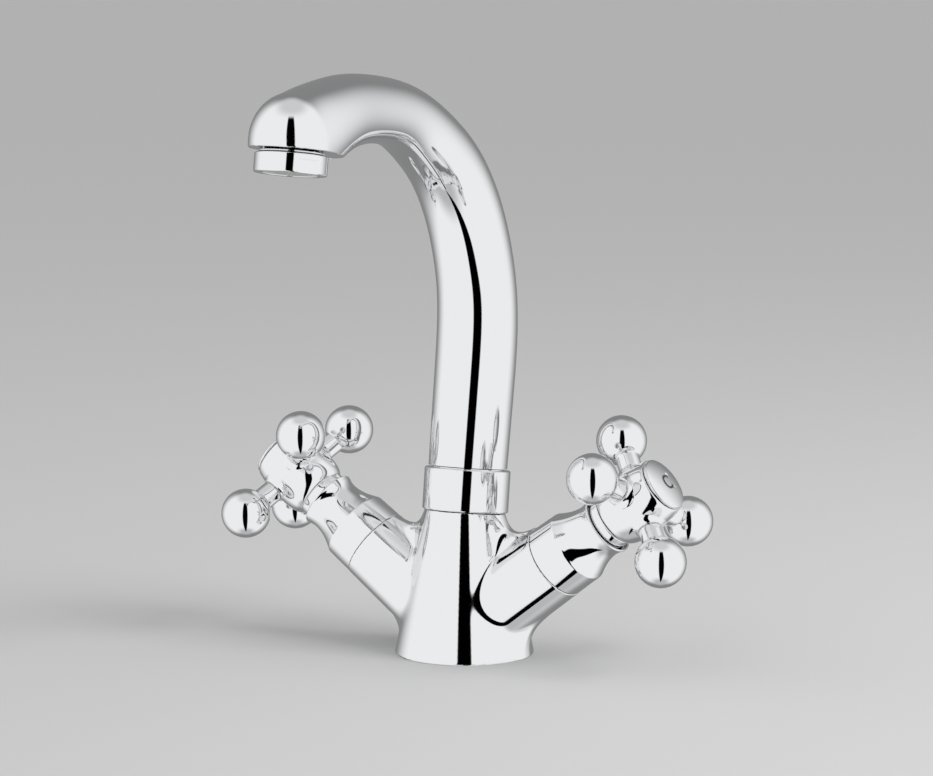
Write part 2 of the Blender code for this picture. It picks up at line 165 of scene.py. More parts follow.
def softRun(points, steps):
    # a smooth run through the points, the same bend either side of each
    points = np.array(points, float)
    gaps = np.linalg.norm(np.diff(points, axis=0), axis=1)
    knots = np.concatenate(([0], np.cumsum(gaps)))
    count = len(points)
    system = np.zeros((count, count))
    right = np.zeros_like(points)
    system[0, 0] = system[-1, -1] = 1
    for i in range(1, count - 1):
        system[i, i - 1:i + 2] = gaps[i - 1], 2 * (gaps[i - 1] + gaps[i]), gaps[i]
        right[i] = 6 * ((points[i + 1] - points[i]) / gaps[i] - (points[i] - points[i - 1]) / gaps[i - 1])
    bends = np.linalg.solve(system, right)
    out = []
    for t in np.linspace(0, knots[-1], steps):
        i = min(int(np.searchsorted(knots, t, side="right")) - 1, count - 2)
        a, b, gap = knots[i + 1] - t, t - knots[i], gaps[i]
        value = bends[i] * a ** 3 / (6 * gap) + bends[i + 1] * b ** 3 / (6 * gap)
        value += (points[i] / gap - bends[i] * gap / 6) * a
        value += (points[i + 1] / gap - bends[i + 1] * gap / 6) * b
        out.append(tuple(float(v) for v in value))
    return out


def arcRun(centre, radius, start, end, steps):
    # points of an arc in the profile's plane, angles in degrees from outward to up
    out = []
    for i in range(steps + 1):
        a = math.radians(start + (end - start) * i / steps)
        out.append((centre[0] + radius * math.cos(a), centre[1] + radius * math.sin(a)))
    return out


def finishEdges(piece, width=0.25, segments=3, angle=28):
    if width:
        applyMod(piece, "BEVEL", width=width * mm, segments=segments, limit_method="ANGLE",
                 angle_limit=math.radians(angle), use_clamp_overlap=True)
    pick(piece)
    bpy.ops.object.shade_smooth()
    applyMod(piece, "WEIGHTED_NORMAL", mode="FACE_AREA", weight=70, keep_sharp=False)
    return piece


class Wire:
    # a socket that takes sums
    def __init__(self, tree, socket):
        self.tree, self.socket = tree, socket

    def join(self, operation, other, swap=False):
        values = [other, self] if swap else [self, other]
        return self.tree.add("ShaderNodeMath", {"operation": operation}, values)

    def __add__(self, other): return self.join("ADD", other)
    def __radd__(self, other): return self.join("ADD", other, True)
    def __sub__(self, other): return self.join("SUBTRACT", other)
    def __rsub__(self, other): return self.join("SUBTRACT", other, True)
    def __mul__(self, other): return self.join("MULTIPLY", other)
    def __rmul__(self, other): return self.join("MULTIPLY", other, True)
    def __pow__(self, other): return self.join("POWER", other)


class Board:
    # a node tree that nodes are put on
    def __init__(self, owner):
        owner.use_nodes = True
        self.tree = owner.node_tree

    def add(self, kind, settings, values, output=0):
        node = self.tree.nodes.new(kind)
        for key, value in settings.items():
            setattr(node, key, value)
        entries = values.items() if isinstance(values, dict) else enumerate(values)
        for key, value in entries:
            self.feed(node.inputs[key], value)
        return Wire(self, node.outputs[output])

    def feed(self, socket, value):
        if isinstance(value, Wire):
            self.tree.links.new(value.socket, socket)
        else:
            socket.default_value = value


class Finish(Board):
    def __init__(self, name, colour, roughness, metallic):
        self.material = bpy.data.materials.new(name)
        super().__init__(self.material)
        self.shader = self.tree.nodes["Principled BSDF"]
        self.shader.inputs["Base Color"].default_value = (*colour, 1)
        self.shader.inputs["Roughness"].default_value = roughness
        self.shader.inputs["Metallic"].default_value = metallic
        self.material.diffuse_color = (*colour, 1)

    def place(self):
        return self.add("ShaderNodeTexCoord", {}, [], "Object")

    def noise(self, scale, detail=3, roughness=0.5):
        return self.add("ShaderNodeTexNoise", {}, {
            "Vector": self.place(), "Scale": scale, "Detail": detail, "Roughness": roughness})

    def bump(self, height, strength, distance):
        normal = self.add("ShaderNodeBump", {}, {
            "Strength": strength, "Distance": distance, "Height": height})
        self.feed(self.shader.inputs["Normal"], normal)

    def drive(self, socket, value):
        self.feed(self.shader.inputs[socket], value)


chromeLook = {
    "colour": (0.82, 0.83, 0.84),
    "roughness": 0.035,
    "haze": 0.035,  # how much rougher the dullest patches are
    "hazeScale": 60,
    "ripple": 0.008,  # waviness left by the polishing
}


def makeChrome():
    finish = Finish("polishedChrome", chromeLook["colour"], chromeLook["roughness"], 1)
    patches = finish.noise(chromeLook["hazeScale"], 4)
    finish.drive("Roughness", chromeLook["roughness"] + chromeLook["haze"] * (patches ** 3))
    finish.bump(finish.noise(35, 1), chromeLook["ripple"], 0.0004)
    return finish.material


def makePlain(name, colour, roughness, metallic, grain, scale):
    finish = Finish(name, colour, roughness, metallic)
    speck = finish.noise(scale, 5)
    dark = (*[c * 0.82 for c in colour], 1)
    pale = (*[min(c * 1.1, 1) for c in colour], 1)
    tint = finish.add("ShaderNodeMix", {"data_type": "RGBA"}, {"Factor": speck, 6: dark, 7: pale}, 2)
    finish.drive("Base Color", tint)
    finish.drive("Roughness", roughness - 0.06 + 0.12 * speck)
    finish.bump(speck, grain, 0.0001)
    return finish.material


finishes = {
    "chrome": makeChrome(),
    "brass": makePlain("machinedBrass", (0.70, 0.52, 0.24), 0.32, 1, 0.15, 900),
    "steel": makePlain("stainlessSteel", (0.55, 0.56, 0.57), 0.28, 1, 0.10, 1200),
    "ceramic": makePlain("lappedCeramic", (0.86, 0.86, 0.83), 0.22, 0, 0.05, 1500),
    "plastic": makePlain("mouldedPlastic", (0.80, 0.81, 0.79), 0.42, 0, 0.10, 700),
    "rubber": makePlain("sealRubber", (0.028, 0.028, 0.030), 0.62, 0, 0.25, 1100),
}
markLook = {"colour": (0.05, 0.05, 0.055), "roughness": 0.45}
markFinish = makePlain("markInk", markLook["colour"], markLook["roughness"], 0, 0.1, 900)


def wear(piece, body, slot, *nodes):
    piece.data.materials.clear()
    piece.data.materials.append(finishes[slot])
    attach(piece, body)
    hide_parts(*nodes)
    return piece


for entry in frame["record"]["subparts"]:
    node = frame["nodes"][entry["node"]]
    node.data.materials.clear()
    node.data.materials.append(finishes[entry["material_slot"]])


bodyShape = {
    "baseRadius": 25.2,
    "shoulderRadius": 14.5,
    "armRoot": 14.7,
    "armRadius": 13.8,
    "armEnd": 46.0,
    "armStart": 12.0,
    "fillet": {"front": 3.6, "top": 24.0, "under": 16.0, "spread": (0.5, 0.92)},  # at each arm's root
    "grain": 0.45,  # size of the skin's faces
    "edge": 0.5,
}


def coneDistance(points):
    foot = np.array(swivelFrame.translation) / mm
    lean = math.acos(swivelFrame.col[2][2])
    share = points[:, 2] / foot[2]
    for _ in range(3):
        angle = share * lean
        normal = np.stack([0 * angle, np.sin(angle), np.cos(angle)], 1)
        off = points - share[:, None] * foot
        share = share + (off * normal).sum(1) / foot[2]
    off = points - share[:, None] * foot
    wide, narrow = bodyShape["baseRadius"], bodyShape["shoulderRadius"]
    slope = math.atan2(wide - narrow, foot[2])
    return (np.linalg.norm(off, axis=1) - wide - (narrow - wide) * share) * math.cos(slope)


def armDistance(points, armFrame):
    origin = np.array(armFrame.translation) / mm
    axis = np.array(armFrame.col[2][:3])
    off = points - origin
    along = np.maximum(off @ axis, bodyShape["armStart"])
    taper = (bodyShape["armRadius"] - bodyShape["armRoot"]) / (bodyShape["armEnd"] - bodyShape["armStart"])
    radius = bodyShape["armRoot"] + taper * (along - bodyShape["armStart"])
    return np.linalg.norm(off - along[:, None] * axis, axis=1) - radius


def blended(a, b, reach):
    share = np.maximum(reach - np.abs(a - b), 0) / reach
    return np.minimum(a, b) - share ** 3 * reach / 6


def easeBetween(value, low, high):
    share = np.clip((value - low) / (high - low), 0, 1)
    return share * share * (3 - 2 * share)


def filletReach(points, armFrame):
    # a tight fillet at the arm's front and back, wide beneath and widest in the saddle above
    axis = np.array(armFrame.col[2][:3])
    off = points - np.array(armFrame.translation) / mm
    radial = off - (off @ axis)[:, None] * axis
    radial /= np.linalg.norm(radial, axis=1)[:, None] + 1e-9
    upward = np.array((0, 0, 1)) - axis * axis[2]
    lift = radial @ (upward / np.linalg.norm(upward))
    fillet = bodyShape["fillet"]
    inPlane = easeBetween(1 - np.abs(radial[:, 1]), *fillet["spread"])
    top = (fillet["top"] - fillet["front"]) * inPlane * easeBetween(lift, 0.0, 0.4)
    under = (fillet["under"] - fillet["front"]) * inPlane * easeBetween(-lift, 0.0, 0.4)
    return fillet["front"] + top + under


def bodyDistance(points):
    out = coneDistance(points)
    for armFrame in armFrames.values():
        out = blended(out, armDistance(points, armFrame), filletReach(points, armFrame))
    return out


def settleOnSkin(piece, distance, rounds=5):
    # each vertex slides along the slope of the distance until it lies on the skin
    flat = np.empty(len(piece.data.vertices) * 3, np.float32)
    piece.data.vertices.foreach_get("co", flat)
    points = flat.reshape(-1, 3).astype(float) / mm
    small = 0.01
    for _ in range(rounds):
        value = distance(points)
        slope = np.stack([(distance(points + small * np.eye(3)[i]) - value) / small for i in range(3)], 1)
        points -= slope * (value / np.maximum((slope ** 2).sum(1), 0.2))[:, None]
    piece.data.vertices.foreach_set("co", (points * mm).astype(np.float32).ravel())
    piece.data.update()


def trimEnd(centre, normal, radius, edge, steps=4):
    # cuts the skin a little short of the end plane and turns the last stretch in as a rounded rim
    centre, normal = Vector(centre), Vector(normal).normalized()
    bpy.ops.mesh.select_all(action="SELECT")
    start = centre - normal * edge * mm
    bpy.ops.mesh.bisect(plane_co=start, plane_no=normal, clear_outer=True, use_fill=False)
    closeRim(start, normal, radius, edge, steps)


def closeRim(start, normal, radius, edge, steps):
    done = (0, radius)
    for i in range(1, steps + 1):
        a = math.pi / 2 * i / steps
        rise, reach = edge * math.sin(a), radius - edge * (1 - math.cos(a))
        step = normal * (rise - done[0]) * mm
        extrudeRing(start + normal * rise * mm, step, reach / done[1])
        done = (rise, reach)
    bpy.ops.mesh.edge_face_add()


def makeBody():
    shape = bodyShape
    foot = swivelFrame.translation
    body = turnedPiece("bodyShell", [(27.0, -4.0), (26.0, 0.0), (13.0, 60.0)], Matrix.Identity(4), 64)
    for armFrame in armFrames.values():
        profile = [(shape["armRoot"], 10.0), (shape["armRadius"], shape["armEnd"] + 4)]
        combine(body, turnedPiece("arm", profile, armFrame, 64), "UNION")
    applyMod(body, "REMESH", mode="VOXEL", voxel_size=shape["grain"] * mm, use_smooth_shade=True)
    settleOnSkin(body, bodyDistance)
    pick(body)
    bpy.ops.object.mode_set(mode="EDIT")
    bpy.ops.mesh.select_mode(type="VERT")
    trimEnd((0, 0, 0), (0, 0, -1), shape["baseRadius"], shape["edge"])
    trimEnd(foot, swivelFrame.col[2][:3], shape["shoulderRadius"], 0.3)
    for armFrame in armFrames.values():
        axis = Vector(armFrame.col[2][:3])
        trimEnd(armFrame.translation + axis * shape["armEnd"] * mm, axis, shape["armRadius"], 0.25)
    bpy.ops.object.mode_set(mode="OBJECT")
    return body


# radius, foot and top of each cylinder, from its own frame
boreShape = {
    "nipple": (12.2, -6, 10),
    "spoutSeat": (9.0, -14, 15),
    "mixing": (6.5, 27, 45),
    "cartridge": (9.2, 20, bodyShape["armEnd"] + 5),
    "passage": (3.5, 12, 21),
    "hosePort": (4.6, -5, 11),
    "hosePassage": (3.4, 10, 17.5),
    "studHole": (3.4, -5, 11.5),
    "portAcross": 12.0,
    "studBack": 13.0,
    "groove": [(22.5, -1), (22.5, 2), (19.5, 2), (19.5, -1)],  # for the gasket
}


def boreBody(body):
    def cut(name, place, sides=64):
        combine(body, cylinderTool(*boreShape[name], place, sides), "DIFFERENCE")

    level = Matrix.Identity(4)
    combine(body, cylinderTool(*boreShape["nipple"], swivelFrame), "UNION")
    cut("spoutSeat", swivelFrame)
    cut("mixing", level)
    for armFrame in armFrames.values():
        across = math.copysign(boreShape["portAcross"], armFrame.col[2][0]) * mm
        port = Matrix.Translation((across, 0, 0))
        cut("cartridge", armFrame)
        cut("passage", armFrame, 32)
        cut("hosePort", port, 48)
        cut("hosePassage", port, 32)
    cut("studHole", Matrix.Translation((0, boreShape["studBack"] * mm, 0)), 48)
    combine(body, turnedPiece("groove", boreShape["groove"], level, ringSides, True), "DIFFERENCE")


body = makeBody()
print("body skin", len(body.data.polygons))
boreBody(body)
finishEdges(body, 0)
wear(body, "root", "chrome", "body")
print("body bored", len(body.data.polygons))


spoutShape = {
    "sides": 32,
    "rings": 46,
    "headStart": -80.0,
    "noseRadius": 14.2,
    "noseHeight": 16.1,
    "noseDrop": 0.4,
    "lip": 0.5,
}
# y, z, half width, half height and lean of the section, up the neck and over the arch
spoutStations = [
    (2.6, 67.2, 14.2, 14.2, 97.5),
    (6.6, 92.7, 14.5, 14.5, 98.0),
    (9.3, 112.0, 14.6, 14.6, 93.5),
    (9.2, 131.3, 14.4, 14.3, 82.0),
    (5.4, 146.1, 14.2, 14.0, 70.0),
    (-2.3, 162.1, 14.0, 13.5, 54.0),
    (-14.3, 176.4, 13.7, 12.8, 40.0),
    (-29.5, 186.9, 13.4, 11.9, 27.0),
    (-46.5, 194.7, 13.1, 11.3, 14.0),
    (-66.4, 197.9, 13.0, 11.5, 3.0),
    (-84.0, 197.5, 13.4, 12.5, 0.0),
    (-94.0, 195.5, 13.9, 13.5, 0.0),
    (-102.0, 193.1, 14.2, 14.7, 0.0),
    (-109.0, 190.8, 14.3, 15.8, 0.0),
    (-115.5, 189.0, 14.2, 16.1, 0.0),
]


def spoutRings():
    rings = softRun(spoutStations, spoutShape["rings"])
    centre, height = spoutStations[-1][0], spoutStations[-1][1]
    for degrees in range(9, 90, 9):
        a = math.radians(degrees)
        wide, high = spoutShape["noseRadius"] * math.cos(a), spoutShape["noseHeight"] * math.cos(a)
        forward = centre - spoutShape["noseRadius"] * math.sin(a)
        rings.append((forward, height - spoutShape["noseDrop"] * math.sin(a), wide, high, 0.0))
    return rings


def makeSpout():
    rings = spoutRings()
    swell = 3 / (2 + math.cos(2 * math.pi / spoutShape["sides"]))  # the smoothing draws a ring in by this
    clearSelection()
    y, z, wide, high, lean = rings[0]
    bpy.ops.mesh.primitive_circle_add(vertices=spoutShape["sides"], radius=swell * mm, fill_type="NOTHING")
    spout = nameIt("spoutTube")
    first = Matrix.Translation((0, y * mm, z * mm)) @ Matrix.Rotation(math.radians(90 - lean), 4, "X")
    spout.data.transform(first @ Matrix.Diagonal((wide, high, 1, 1)))
    bpy.ops.object.mode_set(mode="EDIT")
    bpy.ops.mesh.select_all(action="SELECT")
    for ring in rings[1:]:
        centre = (0, ring[0] * mm, ring[1] * mm)
        bpy.ops.mesh.extrude_region_move(
            TRANSFORM_OT_translate={"value": (0, (ring[0] - y) * mm, (ring[1] - z) * mm)})
        bpy.ops.transform.rotate(
            value=math.radians(ring[4] - lean), orient_axis="X", center_override=centre)
        bpy.ops.transform.resize(
            value=(ring[2] / wide, ring[3] / high, ring[3] / high), center_override=centre)
        y, z, wide, high, lean = ring
    bpy.ops.mesh.merge(type="CENTER")
    bpy.ops.object.mode_set(mode="OBJECT")
    applyMod(spout, "SUBSURF", levels=2, render_levels=2)
    return spout


def trimHead(piece):
    # the head ends on the sloping outlet plane with a small rounded rim
    normal = -Vector(outletFrame.col[2][:3])
    start = outletFrame.translation - normal * spoutShape["lip"] * mm
    selectWhere(piece, lambda v: v.y < spoutShape["headStart"] * mm)
    bpy.ops.object.mode_set(mode="EDIT")
    bpy.ops.mesh.bisect(plane_co=start, plane_no=normal, clear_outer=True, use_fill=False)
    closeRim(start, normal, spoutShape["noseRadius"], spoutShape["lip"], 4)
    bpy.ops.object.mode_set(mode="OBJECT")


def threadRun(radius, depth, low, high, pitch):
    # ridges down a screwed length, from the top to the foot
    out = []
    turns = int((high - low) / pitch)
    for i in range(turns):
        top = high - i * pitch
        out += [(radius - depth, top - 0.12), (radius, top - 0.38 * pitch), (radius, top - 0.55 * pitch)]
    return out + [(radius - depth, low)]


spigotShape = {
    "radius": 8.7,
    "end": -12.0,
    "chamfer": 0.4,
    "grooves": (-8.0, -2.0),  # heights of the O-rings
    "grooveRadius": 7.3,
    "grooveHalf": 1.2,
    "shoulder": [(8.7, 10.5), (8.9, 10.5), (8.9, 12.6), (9.9, 12.6), (9.9, 20.0)],
    "bore": (5.5, -20, 42),
}


def makeSpigot():
    shape = spigotShape
    r, end, chamfer, deep = (shape[k] for k in ("radius", "end", "chamfer", "grooveRadius"))
    profile = [(r - chamfer, end), (r, end + chamfer)]
    for height in shape["grooves"]:
        low, high = height - shape["grooveHalf"], height + shape["grooveHalf"]
        profile += [(r, low), (deep, low), (deep, high), (r, high)]
    return turnedPiece("spigot", profile + shape["shoulder"], swivelFrame, 64)


outletShape = {
    "lip": [(10.9, 3.0), (10.9, -0.85), (10.75, -1.0)],
    "thread": (10.4, 0.35, -4.0, -1.3, 0.9),  # radius, depth, low, high, pitch
    "bore": (8.9, -8, 10),
    "collarRoom": [(12.9, 13.0), (12.9, 17.4), (10.3, 17.4), (10.3, 13.0)],  # round the neck's foot
}


def openSpout(piece):
    combine(piece, makeSpigot(), "UNION")
    combine(piece, cylinderTool(*spigotShape["bore"], swivelFrame, 48), "DIFFERENCE")
    profile = outletShape["lip"] + threadRun(*outletShape["thread"])
    combine(piece, turnedPiece("neckRing", profile[::-1], outletFrame), "UNION")
    combine(piece, cylinderTool(*outletShape["bore"], outletFrame), "DIFFERENCE")
    room = turnedPiece("room", outletShape["collarRoom"], swivelFrame, ringSides, True)
    combine(piece, room, "DIFFERENCE")


spout = makeSpout()
print("spout skin", len(spout.data.polygons))
trimHead(spout)
openSpout(spout)
finishEdges(spout, 0)
wear(spout, "spout", "chrome", "spout")
print("spout opened", len(spout.data.polygons))


collarShape = {
    "radius": 15.5,
    "height": 15.6,
    "gap": 0.3,  # under its foot
    "chamfer": 0.45,
    "nippleRoom": 12.5,
    "threadTop": 11.6,
    "turns": 7,
    "pitch": 1.2,
    "lipRoom": 10.2,
}


def makeCollar():
    shape = collarShape
    r, c, low, top = shape["radius"], shape["chamfer"], shape["gap"], shape["height"]
    thread = []
    for i in range(shape["turns"]):
        rise = shape["threadTop"] - i * shape["pitch"]
        thread += [(shape["nippleRoom"] + 0.5, rise), (shape["nippleRoom"], rise - 0.45),
                   (shape["nippleRoom"], rise - 0.75)]
    profile = [(r - c, low), (r, low + c), (r, top - c), (r - c, top)]
    profile += [(shape["lipRoom"], top), (shape["lipRoom"], 12.6), (shape["nippleRoom"] + 0.5, 12.6)]
    profile += thread + [(shape["nippleRoom"], 1.2), (shape["nippleRoom"] + 0.5, low)]
    collar = turnedPiece("collarRing", profile, swivelFrame, ringSides, True)
    finishEdges(collar, 0.12, 2, 20)
    return wear(collar, "root", "chrome", "spout_collar")


makeCollar()
print("collar")


cupShape = {
    "radius": 12.0,
    "top": -1.3,
    "foot": -7.7,
    "flatHeading": -28.0,  # degrees
    "flatReach": 11.3,
    "flatHeight": 4.4,
    "threadTop": -2.3,
    "turns": 4,
    "pitch": 1.0,
}


def makeCup():
    shape = cupShape
    r, top, foot = shape["radius"], shape["top"], shape["foot"]
    profile = [(r - 0.35, foot), (r, foot + 0.35), (r, top - 0.3), (r - 0.3, top)]
    profile += [(11.2, top), (10.8, -2.0)]
    for i in range(shape["turns"]):
        rise = shape["threadTop"] - i * shape["pitch"]
        profile += [(10.8, rise), (11.1, rise - 0.3), (11.1, rise - 0.5), (10.8, rise - 0.8)]
    profile += [(10.8, -6.6), (9.4, -6.6), (9.4, foot + 0.15), (9.55, foot)]
    cup = turnedPiece("aeratorCup", profile, outletFrame, ringSides, True)
    for side in (0, 180):
        heading = math.radians(shape["flatHeading"] + side)
        reach = (shape["flatReach"] + 2.0) * mm
        at = Matrix.Translation((reach * math.cos(heading), reach * math.sin(heading),
                                 (foot + shape["flatHeight"] / 2 - 0.5) * mm))
        turn = Matrix.Rotation(heading, 4, "Z")
        combine(cup, boxTool((4, 24, shape["flatHeight"] + 1), outletFrame @ at @ turn), "DIFFERENCE")
    finishEdges(cup, 0.1, 2, 20)
    return wear(cup, "spout", "chrome", "aerator_housing")


def makeInsert():
    profile = [(7.2, 2.5), (7.2, 1.4), (6.6, 1.4), (6.6, -6.3), (7.2, -6.3), (7.2, -7.5), (9.1, -7.5),
               (9.1, -6.3), (10.4, -6.3), (10.4, -5.4), (8.4, -5.4), (8.4, 2.5)]
    insert = turnedPiece("aeratorInsert", profile, outletFrame, 64, True)
    finishEdges(insert, 0.1, 2, 20)
    return wear(insert, "spout", "plastic", "aerator_insert")


gridShape = {"pitch": 1.35, "hole": 1.0, "radius": 6.9, "low": -7.5, "high": -6.6}


def makeGrid():
    # a thin disc pierced with a grid of square holes
    shape = gridShape
    clearSelection()
    bpy.ops.mesh.primitive_cube_add(size=1)
    hole = nameIt("gridHole")
    hole.data.transform(Matrix.Diagonal((shape["hole"] * mm, shape["hole"] * mm, 3 * mm, 1)))
    holes = []
    reach = int(shape["radius"] / shape["pitch"])
    for i in range(-reach, reach + 1):
        for j in range(-reach, reach + 1):
            x, y = i * shape["pitch"], j * shape["pitch"]
            if math.hypot(x, y) < shape["radius"] - shape["hole"]:
                copy = bpy.data.objects.new("gridHole", hole.data.copy())
                bpy.context.collection.objects.link(copy)
                copy.data.transform(Matrix.Translation((x * mm, y * mm, (shape["low"] + 0.4) * mm)))
                holes.append(copy)
    pick(hole)
    hole.data.clear_geometry()
    for copy in holes:
        copy.select_set(True)
    bpy.ops.object.join()
    hole.data.transform(outletFrame)
    r, low, high = shape["radius"], shape["low"], shape["high"]
    profile = [(r, low), (r, high)]
    plate = turnedPiece("aeratorGrid", profile, outletFrame, 64)
    combine(plate, hole, "DIFFERENCE")
    finishEdges(plate, 0)
    return wear(plate, "spout", "plastic", "flow_straightener")


makeCup()
makeInsert()
makeGrid()
print("aerator")


shroudShape = {
    "sleeve": [(13.45, 46.12), (13.7, 46.4), (13.46, 56.5), (13.36, 56.95)],
    "waist": [(13.1, 57.4), (12.35, 59.0), (11.6, 60.7), (10.95, 62.6), (10.47, 64.7), (10.25, 66.6),
              (10.28, 68.0), (10.50, 69.3), (10.84, 70.3)],
    "beadRadius": 0.42,
    "beadCentre": (10.66, 71.2),
}


def makeShroud(side):
    shape = shroudShape
    outer = shape["sleeve"] + softRun(shape["waist"], 30)
    bead = arcRun(shape["beadCentre"], shape["beadRadius"], -50, 215, 12)
    inner = [(10.1, 70.6), (9.0, 69.8), (9.0, 61.5), (7.3, 60.5), (7.3, 55.5), (12.0, 55.5), (12.1, 46.2)]
    shroud = turnedPiece(side + "Shroud", outer + bead + inner, armFrames[side], 128, True)
    finishEdges(shroud, 0)
    return wear(shroud, "root", "chrome", side + "_shroud")


for side in armFrames:
    makeShroud(side)
print("shrouds")


handleTurn = {"hot": -40.5, "cold": 61.4}  # degrees at rest

hubShape = {
    "skirt": [(9.05, 71.0), (9.4, 71.0), (9.55, 71.15), (9.55, 74.35), (9.4, 74.5), (9.4, 74.75)],
    "barrel": [(9.7, 74.9), (10.6, 76.0), (11.3, 77.7), (11.78, 80.0), (11.98, 83.0), (11.96, 86.5),
               (11.72, 90.0), (11.3, 93.0), (10.75, 95.6), (10.35, 97.0)],
    "boss": [(6.6, 8.5), (6.6, 9.7), (6.45, 10.3), (6.1, 10.85), (5.6, 11.35), (5.15, 11.8), (4.87, 12.15),
             (4.75, 12.45), (4.6, 12.6)],  # flares into the barrel
    "studRoom": (2.5, 7.2, 16),
    "bore": [(8.2, 97.4), (8.2, 93.5), (5.5, 93.5), (5.5, 88.5), (2.4, 88.5), (2.4, 86.3), (6.7, 86.3),
             (6.7, 71.0)],
}


def makeHub(side):
    shape = hubShape
    place = armFrames[side]
    outer = shape["skirt"] + softRun(shape["barrel"], 34) + [(10.12, 97.32), (9.9, 97.4)]
    hub = turnedPiece(side + "Hub", outer + shape["bore"], Matrix.Identity(4), 128, True)
    for quarter in range(4):
        stand = spokeStand(quarter)
        combine(hub, turnedPiece("boss", shape["boss"], stand, 96), "UNION")
    for quarter in range(4):
        combine(hub, cylinderTool(*shape["studRoom"], spokeStand(quarter), 32), "DIFFERENCE")
    hub.data.transform(place @ Matrix.Rotation(math.radians(handleTurn[side]), 4, "Z"))
    finishEdges(hub, 0)
    return wear(hub, side + "_handle", "chrome", side + "_handle_hub")


def spokeStand(quarter):
    # the spoke's own upright laid down to point away from the handle's axis
    out = Matrix.Rotation(math.radians(90 * quarter), 4, "Z") @ Matrix.Rotation(math.radians(-90), 4, "X")
    return Matrix.Translation((0, 0, ballPlane * mm)) @ out


spokeShape = {"orbit": 26.3, "ball": 9.0, "stem": 4.2, "seat": 12.9, "stud": 2.2, "studEnd": 7.5,
              "fillet": 0.7}


def makeSpoke():
    shape = spokeShape
    stem, seat, stud, orbit, ball = (shape[k] for k in ("stem", "seat", "stud", "orbit", "ball"))
    fillet = shape["fillet"]
    profile = [(stud - 0.3, shape["studEnd"]), (stud, shape["studEnd"] + 0.3), (stud, seat)]
    profile += [(stem - 0.15, seat), (stem, seat + 0.15)]
    reach = math.sqrt((ball + fillet) ** 2 - (stem + fillet) ** 2)  # the fillet touches both stem and ball
    meet = -math.degrees(math.atan2(reach, stem + fillet))
    profile += arcRun((stem + fillet, orbit - reach), fillet, 180, 180 + meet, 6)
    profile += arcRun((0, orbit), ball, meet, 90, 44)[1:-1]
    profile += [(0, orbit + ball)]
    return turnedPiece("spoke", profile, Matrix.Identity(4), 96)


def placeSpokes(pattern, side):
    turn = Matrix.Rotation(math.radians(handleTurn[side]), 4, "Z")
    for quarter in range(4):
        name = "%sSpoke%d" % (side, quarter + 1)
        spoke = bpy.data.objects.new(name, pattern.data.copy())
        bpy.context.collection.objects.link(spoke)
        spoke.data.name = name
        spoke.data.transform(armFrames[side] @ turn @ spokeStand(quarter))
        finishEdges(spoke, 0)
        wear(spoke, side + "_handle", "chrome", "%s_spoke_%d" % (side, quarter + 1))


capShape = {
    "face": [(9.75, 97.7), (9.75, 98.35), (9.6, 98.68), (9.2, 98.92), (7.9, 99.28), (6.4, 99.6),
             (4.7, 99.84), (3.0, 99.99), (1.5, 100.07), (0, 100.1)],
    "letter": {"hot": "H", "cold": "C"},
    "letterSize": 7.6,
    "letterFloor": 99.8,
    "inkReach": 5.0,
}


def makeCap(side):
    profile = [(6.6, 94.0), (7.9, 94.0), (7.9, 97.7)] + capShape["face"]
    return turnedPiece(side + "IndexCap", profile, armFrames[side], 128)


def makeLetter(side):
    # the letter stands upright as seen from the front of the mixer
    shape = capShape
    clearSelection()
    bpy.ops.object.text_add()
    letter = bpy.context.object
    letter.data.body = shape["letter"][side]
    letter.data.size = shape["letterSize"] * mm
    letter.data.align_x = "CENTER"
    letter.data.align_y = "CENTER"
    letter.data.extrude = 1.0 * mm
    letter.data.offset = 0.05 * mm
    bpy.ops.object.convert(target="MESH")
    letter = bpy.context.object
    applyMod(letter, "WELD", merge_threshold=0.00001)
    xs = [v.co.x for v in letter.data.vertices]
    ys = [v.co.y for v in letter.data.vertices]
    shift = Matrix.Translation((-(min(xs) + max(xs)) / 2, -(min(ys) + max(ys)) / 2, 0))
    # reading direction: local up of the letter points up the cap as it leans
    axis = Vector(armFrames[side].col[2][:3])
    up = (Vector((0, 0, 1)) - axis * axis.z).normalized()
    across = up.cross(axis)
    stand = Matrix((across, up, axis)).transposed().to_4x4()
    stand.translation = armFrames[side].translation + axis * (shape["letterFloor"] + 1.0) * mm
    letter.data.transform(stand @ shift)
    return letter


def finishCap(side):
    cap = makeCap(side)
    letter = makeLetter(side)
    combine(cap, letter, "DIFFERENCE")
    finishEdges(cap, 0)
    wear(cap, side + "_handle", "chrome", side + "_index_cap")
    cap.data.materials.append(markFinish)
    toArm = armFrames[side].inverted()
    axis = Vector(armFrames[side].col[2][:3])
    for face in cap.data.polygons:
        centre = toArm @ face.center
        above = centre.z - capShape["letterFloor"] * mm
        sunk = abs(above) < 0.03 * mm or (above > 0 and abs(face.normal.dot(axis)) < 0.5)
        if sunk and math.hypot(centre.x, centre.y) < capShape["inkReach"] * mm:
            face.material_index = 1


spokePattern = makeSpoke()
for side in armFrames:
    makeHub(side)
    placeSpokes(spokePattern, side)
    finishCap(side)
bpy.data.objects.remove(spokePattern)
print("handles")


studio = {
    "azimuth": 28.77,
    "elevation": 7.3,
    "distance": 1.128,
    "lens": 121.54,
    "target": (0.00067, 0.00037, 0.09604),
    "floor": 300.0,
    "floorColour": (0.60, 0.60, 0.60),
}


def awayFrom(azimuth, elevation):
    # the way from the mixer towards that heading, in degrees from the front
    a, e = math.radians(azimuth), math.radians(elevation)
    return Vector((math.sin(a) * math.cos(e), -math.cos(a) * math.cos(e), math.sin(e)))


